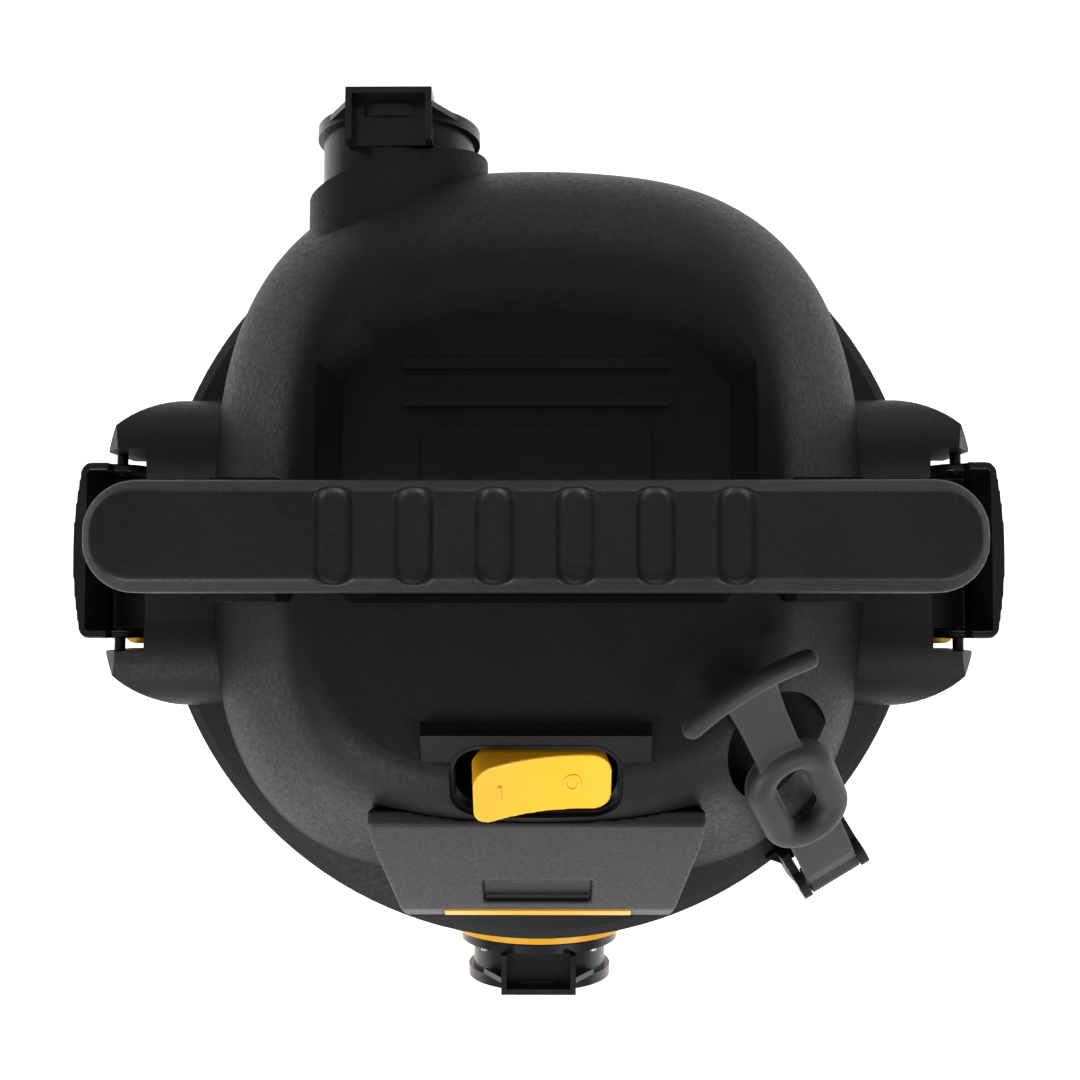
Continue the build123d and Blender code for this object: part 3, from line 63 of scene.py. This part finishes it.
def noise(nodes, links, scale, detail=2.0, roughness=0.5):
    texture = nodes.new("ShaderNodeTexNoise")
    texture.inputs["Scale"].default_value = scale
    texture.inputs["Detail"].default_value = detail
    texture.inputs["Roughness"].default_value = roughness
    links.new(object_coordinates(nodes), texture.inputs["Vector"])
    return texture.outputs["Fac"]


def spread(nodes, links, value, low, high, from_low=0.3, from_high=0.7):
    """Maps a noise value to a range."""
    node = nodes.new("ShaderNodeMapRange")
    node.inputs["From Min"].default_value = from_low
    node.inputs["From Max"].default_value = from_high
    node.inputs["To Min"].default_value = low
    node.inputs["To Max"].default_value = high
    links.new(value, node.inputs["Value"])
    return node.outputs["Result"]


def two_colours(nodes, links, value, first, second):
    ramp = nodes.new("ShaderNodeValToRGB")
    ramp.color_ramp.elements[0].position = 0.3
    ramp.color_ramp.elements[1].position = 0.7
    ramp.color_ramp.elements[0].color = (*first, 1)
    ramp.color_ramp.elements[1].color = (*second, 1)
    links.new(value, ramp.inputs["Fac"])
    return ramp.outputs["Color"]


def bump(nodes, links, shader, height, distance):
    """Raises the surface by a height of 0 to 1, times a distance in metres."""
    node = nodes.new("ShaderNodeBump")
    node.inputs["Distance"].default_value = distance
    links.new(height, node.inputs["Height"])
    links.new(node.outputs["Normal"], shader.inputs["Normal"])


def add_values(nodes, links, first, second, weight):
    """The first value plus the second times a weight."""
    node = nodes.new("ShaderNodeMath")
    node.operation = "MULTIPLY_ADD"
    links.new(second, node.inputs[0])
    node.inputs[1].default_value = weight
    links.new(first, node.inputs[2])
    return node.outputs["Value"]


# ---- materials ----------------------------------------------------------------------------------
def textured_plastic(name, dark, light, grain_mm, depth_mm, rough=(0.38, 0.52), specular=0.5):
    """Moulded plastic with a spark-eroded grain: fine pits, a slower mottle, and uneven sheen."""
    material, nodes, links, shader = new_material(name)
    shader.inputs["Specular IOR Level"].default_value = specular
    grain = noise(nodes, links, 1.0 / (grain_mm * MM), 2.0, 0.6)
    coarse = noise(nodes, links, 0.25 / (grain_mm * MM), 2.0)
    cloud = noise(nodes, links, 22.0, 3.0)
    links.new(two_colours(nodes, links, cloud, dark, light), shader.inputs["Base Color"])
    links.new(spread(nodes, links, coarse, *rough), shader.inputs["Roughness"])
    bump(nodes, links, shader, add_values(nodes, links, grain, coarse, 0.8), depth_mm * MM)
    return material


def smooth_plastic(name, dark, light, rough, specular=0.5):
    """Polished moulding: faint flow ripple and a few dull patches."""
    material, nodes, links, shader = new_material(name)
    shader.inputs["Specular IOR Level"].default_value = specular
    flow = noise(nodes, links, 45.0, 3.0)
    fine = noise(nodes, links, 900.0, 1.0)
    links.new(two_colours(nodes, links, flow, dark, light), shader.inputs["Base Color"])
    links.new(spread(nodes, links, flow, *rough), shader.inputs["Roughness"])
    bump(nodes, links, shader, add_values(nodes, links, flow, fine, 0.12), 0.03 * MM)
    return material


def brushed_metal(name, colour, rough=(0.25, 0.42), scale=1400.0):
    """Bare metal with fine lines along Z."""
    material, nodes, links, shader = new_material(name)
    shader.inputs["Metallic"].default_value = 1.0
    lines = nodes.new("ShaderNodeTexNoise")
    lines.inputs["Scale"].default_value = scale
    stretch = nodes.new("ShaderNodeMapping")
    stretch.inputs["Scale"].default_value = (1.0, 1.0, 0.08)
    links.new(object_coordinates(nodes), stretch.inputs["Vector"])
    links.new(stretch.outputs["Vector"], lines.inputs["Vector"])
    darker = tuple(c * 0.75 for c in colour)
    links.new(two_colours(nodes, links, lines.outputs["Fac"], darker, colour), shader.inputs["Base Color"])
    links.new(spread(nodes, links, lines.outputs["Fac"], *rough), shader.inputs["Roughness"])
    bump(nodes, links, shader, lines.outputs["Fac"], 0.02 * MM)
    return material


def rubber(name, dark, light, rough=(0.5, 0.68), grain_mm=0.5):
    """Dull rubber or foam with a faint bloom and a fine grain."""
    material, nodes, links, shader = new_material(name)
    shader.inputs["Specular IOR Level"].default_value = 0.28
    shader.inputs["Sheen Weight"].default_value = 0.08
    shader.inputs["Sheen Roughness"].default_value = 0.5
    dust = noise(nodes, links, 60.0, 4.0, 0.65)
    grain = noise(nodes, links, 1.0 / (grain_mm * MM), 2.0)
    links.new(two_colours(nodes, links, dust, dark, light), shader.inputs["Base Color"])
    links.new(spread(nodes, links, dust, *rough), shader.inputs["Roughness"])
    bump(nodes, links, shader, add_values(nodes, links, dust, grain, 0.3), 0.05 * MM)
    return material


def pleated_paper(name):
    material, nodes, links, shader = new_material(name)
    shader.inputs["Roughness"].default_value = 0.9
    fibre = noise(nodes, links, 700.0, 4.0, 0.7)
    blotch = noise(nodes, links, 40.0, 3.0)
    colour = two_colours(nodes, links, blotch, (0.62, 0.59, 0.5), (0.76, 0.73, 0.64))
    links.new(colour, shader.inputs["Base Color"])
    bump(nodes, links, shader, fibre, 0.12 * MM)
    return material


BLACK = textured_plastic("black_textured", (0.003, 0.003, 0.0032), (0.0055, 0.0055, 0.0058), 0.5, 0.14,
                         (0.42, 0.58), 0.13)
BLACK_FINE = textured_plastic("black_fine", (0.0045, 0.0045, 0.0048), (0.0075, 0.0075, 0.008), 0.4, 0.08,
                              (0.36, 0.5), 0.2)
LATCH_BLACK = smooth_plastic("black_gloss", (0.003, 0.003, 0.0033), (0.005, 0.005, 0.0054),
                             (0.2, 0.3), 0.25)
PORT_BLACK = smooth_plastic("black_satin", (0.003, 0.003, 0.0033), (0.005, 0.005, 0.0054),
                            (0.24, 0.34), 0.3)
TANK_YELLOW = textured_plastic("tank_yellow", (0.64, 0.312, 0.004), (0.68, 0.33, 0.005),
                               0.6, 0.03, (0.3, 0.4))
ROCKER_YELLOW = textured_plastic("rocker_yellow", (0.68, 0.32, 0.003), (0.74, 0.355, 0.005), 0.35, 0.02,
                                 (0.34, 0.44))
LABEL_YELLOW = textured_plastic("label_yellow", (0.55, 0.27, 0.008), (0.63, 0.31, 0.012), 0.3, 0.02)
GREY = textured_plastic("grey_moulding", (0.05, 0.05, 0.052), (0.07, 0.07, 0.073), 0.5, 0.05)
RUBBER = rubber("black_rubber", (0.006, 0.006, 0.0065), (0.011, 0.011, 0.0115))
FOAM = rubber("foam", (0.03, 0.03, 0.03), (0.05, 0.05, 0.05), (0.8, 0.95), 0.8)
TYRE = rubber("tyre", (0.012, 0.012, 0.012), (0.022, 0.022, 0.021), (0.6, 0.8), 0.6)
STEEL = brushed_metal("zinc_steel", (0.55, 0.55, 0.56))
LAMINATION = brushed_metal("laminated_steel", (0.32, 0.31, 0.3), (0.4, 0.6), 2600.0)
COPPER = brushed_metal("copper", (0.72, 0.3, 0.14), (0.3, 0.42), 2200.0)
ALUMINIUM = brushed_metal("spun_aluminium", (0.7, 0.71, 0.72), (0.28, 0.4))
CARBON = textured_plastic("carbon", (0.012, 0.012, 0.012), (0.03, 0.03, 0.03), 0.4, 0.05, (0.6, 0.75))
FLOAT_WHITE = smooth_plastic("float_white", (0.66, 0.66, 0.62), (0.74, 0.74, 0.7), (0.35, 0.45))
PAPER = pleated_paper("filter_paper")

SLOT_MATERIALS = {
    "tank_yellow": TANK_YELLOW, "black_plastic": BLACK, "gloss_black": PORT_BLACK, "rubber": RUBBER,
    "foam": FOAM, "label_yellow": LABEL_YELLOW, "rocker_yellow": ROCKER_YELLOW, "grey_plastic": GREY,
    "steel": STEEL, "lamination": LAMINATION, "copper": COPPER, "carbon": CARBON, "aluminium": ALUMINIUM,
    "float_plastic": FLOAT_WHITE, "filter_paper": PAPER, "wheel_plastic": TYRE,
}
NODE_MATERIALS = {
    "latch_left": LATCH_BLACK, "latch_right": LATCH_BLACK, "latch_pins": LATCH_BLACK,
    "handle_upper": BLACK_FINE, "handle_lower": BLACK_FINE, "front_fascia": BLACK_FINE,
}


BODY_OF = {node: body for body, nodes in frame["record"]["behaviour"]["bodies"].items() for node in nodes}
SLOT_OF = {part["node"]: part["material_slot"] for part in frame["record"]["subparts"]}


def material_of(node_name):
    return NODE_MATERIALS.get(node_name) or SLOT_MATERIALS[SLOT_OF[node_name]]


def dress_nodes():
    """Gives every carried-over CAD node its material."""
    for name, node in frame["nodes"].items():
        for place in node.material_slots:
            place.material = material_of(name)


dress_nodes()


# ---- mesh helpers -------------------------------------------------------------------------------
def object_from(name, mesh):
    piece = bpy.data.objects.new(name, mesh)
    SCENE.collection.objects.link(piece)
    return piece


def object_from_bmesh(name, bm):
    bmesh.ops.recalc_face_normals(bm, faces=bm.faces)
    mesh = bpy.data.meshes.new(name)
    bm.to_mesh(mesh)
    bm.free()
    return object_from(name, mesh)


def smooth(piece):
    for polygon in piece.data.polygons:
        polygon.use_smooth = True
    return piece


def applied(piece):
    """Bakes a piece's modifiers into its mesh."""
    SCENE.view_layers[0].update()
    source = piece.evaluated_get(bpy.context.evaluated_depsgraph_get())
    mesh = bpy.data.meshes.new_from_object(source)
    piece.modifiers.clear()
    piece.data = mesh
    return piece


def add_tube(bm, path, radii, closed=False, segments=20, up=Vector((0, 0, 1))):
    """A round or oval tube along a path; radii is one (across, along up) pair for each point."""
    rings = []
    count = len(path)
    for index, point in enumerate(path):
        before = path[(index - 1) % count] if closed or index else point
        after = path[(index + 1) % count] if closed or index < count - 1 else point
        forward = (after - before).normalized()
        across = forward.cross(up).normalized()
        top = across.cross(forward).normalized()
        ring = []
        for step in range(segments):
            angle = 2 * math.pi * step / segments
            sideways = across * (radii[index][0] * math.cos(angle))
            offset = sideways + top * (radii[index][1] * math.sin(angle))
            ring.append(bm.verts.new(point + offset))
        rings.append(ring)
    spans = count if closed else count - 1
    for index in range(spans):
        first, second = rings[index], rings[(index + 1) % count]
        for step in range(segments):
            after = (step + 1) % segments
            bm.faces.new((first[step], first[after], second[after], second[step]))
    if not closed:
        bm.faces.new(rings[0])
        bm.faces.new(rings[-1])


def add_ribbon(bm, centre_line, half_widths, thickness):
    """A flat strap along a line of (x, z) points, across Y."""
    rings = []
    count = len(centre_line)
    for index, (x, z) in enumerate(centre_line):
        before = centre_line[max(index - 1, 0)]
        after = centre_line[min(index + 1, count - 1)]
        forward = Vector((after[0] - before[0], 0, after[1] - before[1])).normalized()
        normal = Vector((-forward.z, 0, forward.x)) * (thickness / 2)
        centre = Vector((x, 0, z))
        side = Vector((0, half_widths[index], 0))
        corners = (normal + side, side - normal, -normal - side, normal - side)
        rings.append([bm.verts.new(centre + corner) for corner in corners])
    for first, second in zip(rings, rings[1:]):
        for step in range(4):
            after = (step + 1) % 4
            bm.faces.new((first[step], first[after], second[after], second[step]))
    bm.faces.new(rings[0])
    bm.faces.new(rings[-1])


def moulded(piece, voxel_mm, smoothing):
    """Melts overlapping shells into one soft moulding."""
    remesh = piece.modifiers.new("melt", "REMESH")
    remesh.mode = "VOXEL"
    remesh.voxel_size = voxel_mm * MM
    soften = piece.modifiers.new("soften", "SMOOTH")
    soften.factor = 0.5
    soften.iterations = smoothing
    return smooth(applied(piece))


# ---- mouldings with rounded edges ---------------------------------------------------------------
# For each node: voxel in mm, smoothing steps, share of the faces kept.
ROUNDED_NODES = {
    "handle_upper": (0.9, 8, 0.35),
    "front_fascia": (0.8, 6, 0.35),
    "rocker": (0.5, 8, 0.5),
    "latch_left": (0.7, 3, 0.35),
    "latch_right": (0.7, 3, 0.35),
}


def rounded_copy(name, voxel_mm, smoothing, kept):
    """The same moulding with soft edges, standing in for its sharp CAD solid."""
    node = frame["nodes"][name]
    piece = moulded(object_from(name + "_moulding", node.data.copy()), voxel_mm, smoothing)
    thin = piece.modifiers.new("thin", "DECIMATE")
    thin.ratio = kept
    piece = smooth(applied(piece))
    piece.data.materials.clear()
    piece.data.materials.append(material_of(name))
    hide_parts(name)
    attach(piece, BODY_OF[name])
    return piece


ROUNDED = {name: rounded_copy(name, *settings) for name, settings in ROUNDED_NODES.items()}


# ---- rocker legends -----------------------------------------------------------------------------
SWITCH_CENTRE = Vector((0, -91.0, 449.0)) * MM
SWITCH_TILT = 33.0
LEGEND_AT = 14.0 * MM
LEGEND_RAISE = 0.1 * MM
LEGEND_LINE = (0.75 * MM, 0.45 * MM)
ABOVE_SWITCH = 40.0 * MM
ON_MARK_HEIGHT = 7.0 * MM
OFF_MARK_RADII = (2.9 * MM, 3.6 * MM)


def legend(name, outline_points, closed, side):
    """A raised mark laid on the rocker's face on one side; the points are (x, y) from the mark's middle."""
    tree = BVHTree.FromObject(ROUNDED["rocker"], bpy.context.evaluated_depsgraph_get())
    switch_place = Matrix.Translation(SWITCH_CENTRE) @ Matrix.Rotation(math.radians(SWITCH_TILT), 4, "X")
    down = switch_place.to_3x3() @ Vector((0, 0, -1))
    path = []
    for x, y in outline_points:
        start = switch_place @ Vector((side * LEGEND_AT + x, y, ABOVE_SWITCH))
        path.append(tree.ray_cast(start, down)[0] - down * LEGEND_RAISE)
    bm = bmesh.new()
    add_tube(bm, path, [LEGEND_LINE] * len(path), closed=closed, segments=10, up=-down)
    mark = smooth(object_from_bmesh(name, bm))
    mark.data.materials.append(ROCKER_YELLOW)
    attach(mark, "rocker")


def make_legends():
    bar = [(0, (index / 4 - 0.5) * ON_MARK_HEIGHT) for index in range(5)]
    legend("on_mark", bar, False, -1)
    ring = []
    for step in range(24):
        angle = 2 * math.pi * step / 24
        ring.append((OFF_MARK_RADII[0] * math.cos(angle), OFF_MARK_RADII[1] * math.sin(angle)))
    legend("off_mark", ring, True, 1)


make_legends()


# ---- rubber strap -------------------------------------------------------------------------------
STRAP_PIVOT = Vector((128.8, -139.6, 374.0)) * MM
STRAP_YAW = -59.2
STRAP_TILT = 43.5
STRAP_LENGTH = 141.0 * MM
RING_AT = 66.0 * MM
RING_RADIUS = 13.0 * MM
RING_STRAIGHT = 12.5 * MM
RING_TUBE = (6.4 * MM, 6.0 * MM)
RING_GAP = 20.5 * MM         # from the ring's middle to where the flat strap meets it
STRAP_RISE = 4.6 * MM        # from the pin's centre to the strap's mid-plane
BASE_HALF_WIDTH = 12.0 * MM
BASE_THICKNESS = 4.4 * MM
NECK_THICKNESS = 3.8 * MM
PIN_LOOP_RADIUS = 4.0 * MM
BAR_RADIUS = 4.0 * MM
BAR_HALF_LENGTH = 29.0 * MM
BAR_BOW = 6.5 * MM
BAR_DROP = 1.2 * MM
BAR_DOME_REACH = 31.02 * MM
RING_STEPS = 48
BAR_STEPS = 33


def strap_matrix():
    """From the strap's own frame (origin at its pin, X along it, Z off its face) to the row's."""
    turn = Matrix.Rotation(math.radians(STRAP_YAW + 180), 4, "Z")
    tilt = Matrix.Rotation(math.radians(-STRAP_TILT), 4, "Y")
    return Matrix.Translation(STRAP_PIVOT) @ turn @ tilt


def smooth_end_radii(count, radius):
    """Radii along a bar with domed ends."""
    radii = []
    for index in range(count):
        share = index / (count - 1)
        from_end = min(share, 1 - share) * 2 * BAR_DOME_REACH
        inside = min(from_end / radius, 1.0)
        grown = radius * max(math.sqrt(max(0.0, 1 - (1 - inside) ** 2)), 0.25)
        radii.append((grown, grown))
    return radii


def add_strap_base(bm):
    """The loop round the pin and the wide flat strap up to the eyelet."""
    line = []
    for step in range(13):
        angle = math.radians(-60 - step * 25)
        line.append((PIN_LOOP_RADIUS * math.cos(angle) - 0.5 * MM, PIN_LOOP_RADIUS * math.sin(angle)))
    line.append((6 * MM, STRAP_RISE * 0.8))
    line += [(x, STRAP_RISE) for x in (12 * MM, 30 * MM, RING_AT - RING_GAP)]
    add_ribbon(bm, line, [BASE_HALF_WIDTH] * len(line), BASE_THICKNESS)


def add_strap_neck(bm):
    """The narrower flat strap from the eyelet to the T-bar."""
    line = [(x, STRAP_RISE) for x in (RING_AT + RING_GAP, RING_AT + 32 * MM, 122 * MM)]
    line.append((STRAP_LENGTH, STRAP_RISE + 0.4 * MM))
    add_ribbon(bm, line, [11 * MM, 9.6 * MM, 9.8 * MM, 11 * MM], NECK_THICKNESS)


def add_strap_ring(bm):
    oval = []
    for step in range(RING_STEPS):
        angle = 2 * math.pi * step / RING_STEPS
        x = RING_RADIUS * math.cos(angle) + math.copysign(RING_STRAIGHT, math.cos(angle))
        oval.append(Vector((RING_AT + x, RING_RADIUS * math.sin(angle), STRAP_RISE)))
    add_tube(bm, oval, [RING_TUBE] * RING_STEPS, closed=True)


def add_strap_bar(bm):
    """The T-bar: bowed back towards the eyelet and slightly down at its ends."""
    bar = []
    for step in range(BAR_STEPS):
        share = step / (BAR_STEPS - 1) * 2 - 1
        x = STRAP_LENGTH + 0.5 * MM - BAR_BOW * share ** 2
        z = STRAP_RISE + 1.0 * MM - BAR_DROP * share ** 2
        bar.append(Vector((x, BAR_HALF_LENGTH * share, z)))
    add_tube(bm, bar, smooth_end_radii(BAR_STEPS, BAR_RADIUS))


def make_strap():
    """The rubber tie strap, melted into one moulding."""
    bm = bmesh.new()
    add_strap_base(bm)
    add_strap_neck(bm)
    add_strap_ring(bm)
    add_strap_bar(bm)
    strap = object_from_bmesh("rubber_tie_strap", bm)
    strap = moulded(strap, 0.7, 6)
    strap.data.transform(strap_matrix())
    strap.data.materials.append(RUBBER)
    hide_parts("rubber_strap")
    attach(strap, "strap")


make_strap()


# ---- stage, light and camera --------------------------------------------------------------------
FLOOR_GLOW = 0.4
WORLD_STRENGTH = 0.45


def make_floor():
    bpy.ops.mesh.primitive_plane_add(size=14, location=(0, 0, 0))
    floor = bpy.context.object
    floor.name = "floor"
    material, nodes, links, shader = new_material("pale_floor")
    shader.inputs["Base Color"].default_value = (0.93, 0.93, 0.93, 1)
    shader.inputs["Roughness"].default_value = 0.85
    shader.inputs["Emission Color"].default_value = (1, 1, 1, 1)
    shader.inputs["Emission Strength"].default_value = FLOOR_GLOW
    floor.data.materials.append(material)


def make_world():
    world = bpy.data.worlds.new("studio")
    world.use_nodes = True
    background = world.node_tree.nodes["Background"]
    background.inputs["Color"].default_value = (1, 1, 1, 1)
    background.inputs["Strength"].default_value = WORLD_STRENGTH
    SCENE.world = world


def area_light(name, place, target, size, power):
    light = bpy.data.lights.new(name, "AREA")
    light.shape = "RECTANGLE"
    light.size, light.size_y = size
    light.energy = power
    lamp = bpy.data.objects.new(name, light)
    SCENE.collection.objects.link(lamp)
    lamp.location = place
    lamp.rotation_euler = (Vector(target) - Vector(place)).to_track_quat("-Z", "Y").to_euler()


def make_lights():
    middle = (0, 0, 0.4)
    area_light("front_left_softbox", (-0.9, -1.5, 1.5), middle, (0.9, 0.9), 44)
    area_light("front_right_softbox", (1.1, -1.2, 1.5), middle, (0.8, 0.8), 26)
    area_light("rear_softbox", (0.2, 1.8, 1.2), middle, (1.6, 0.7), 18)


def make_camera():
    camera = bpy.data.cameras.new("camera")
    camera.sensor_width = 36.0
    camera.lens = 43.33
    camera.clip_start = 0.05
    eye = bpy.data.objects.new("camera", camera)
    SCENE.collection.objects.link(eye)
    eye.location = (0.005, -0.0242, 0.957)
    eye.rotation_euler = (math.radians(2.86), math.radians(0.4), 0)
    SCENE.camera = eye


make_floor()
make_world()
make_lights()
make_camera()
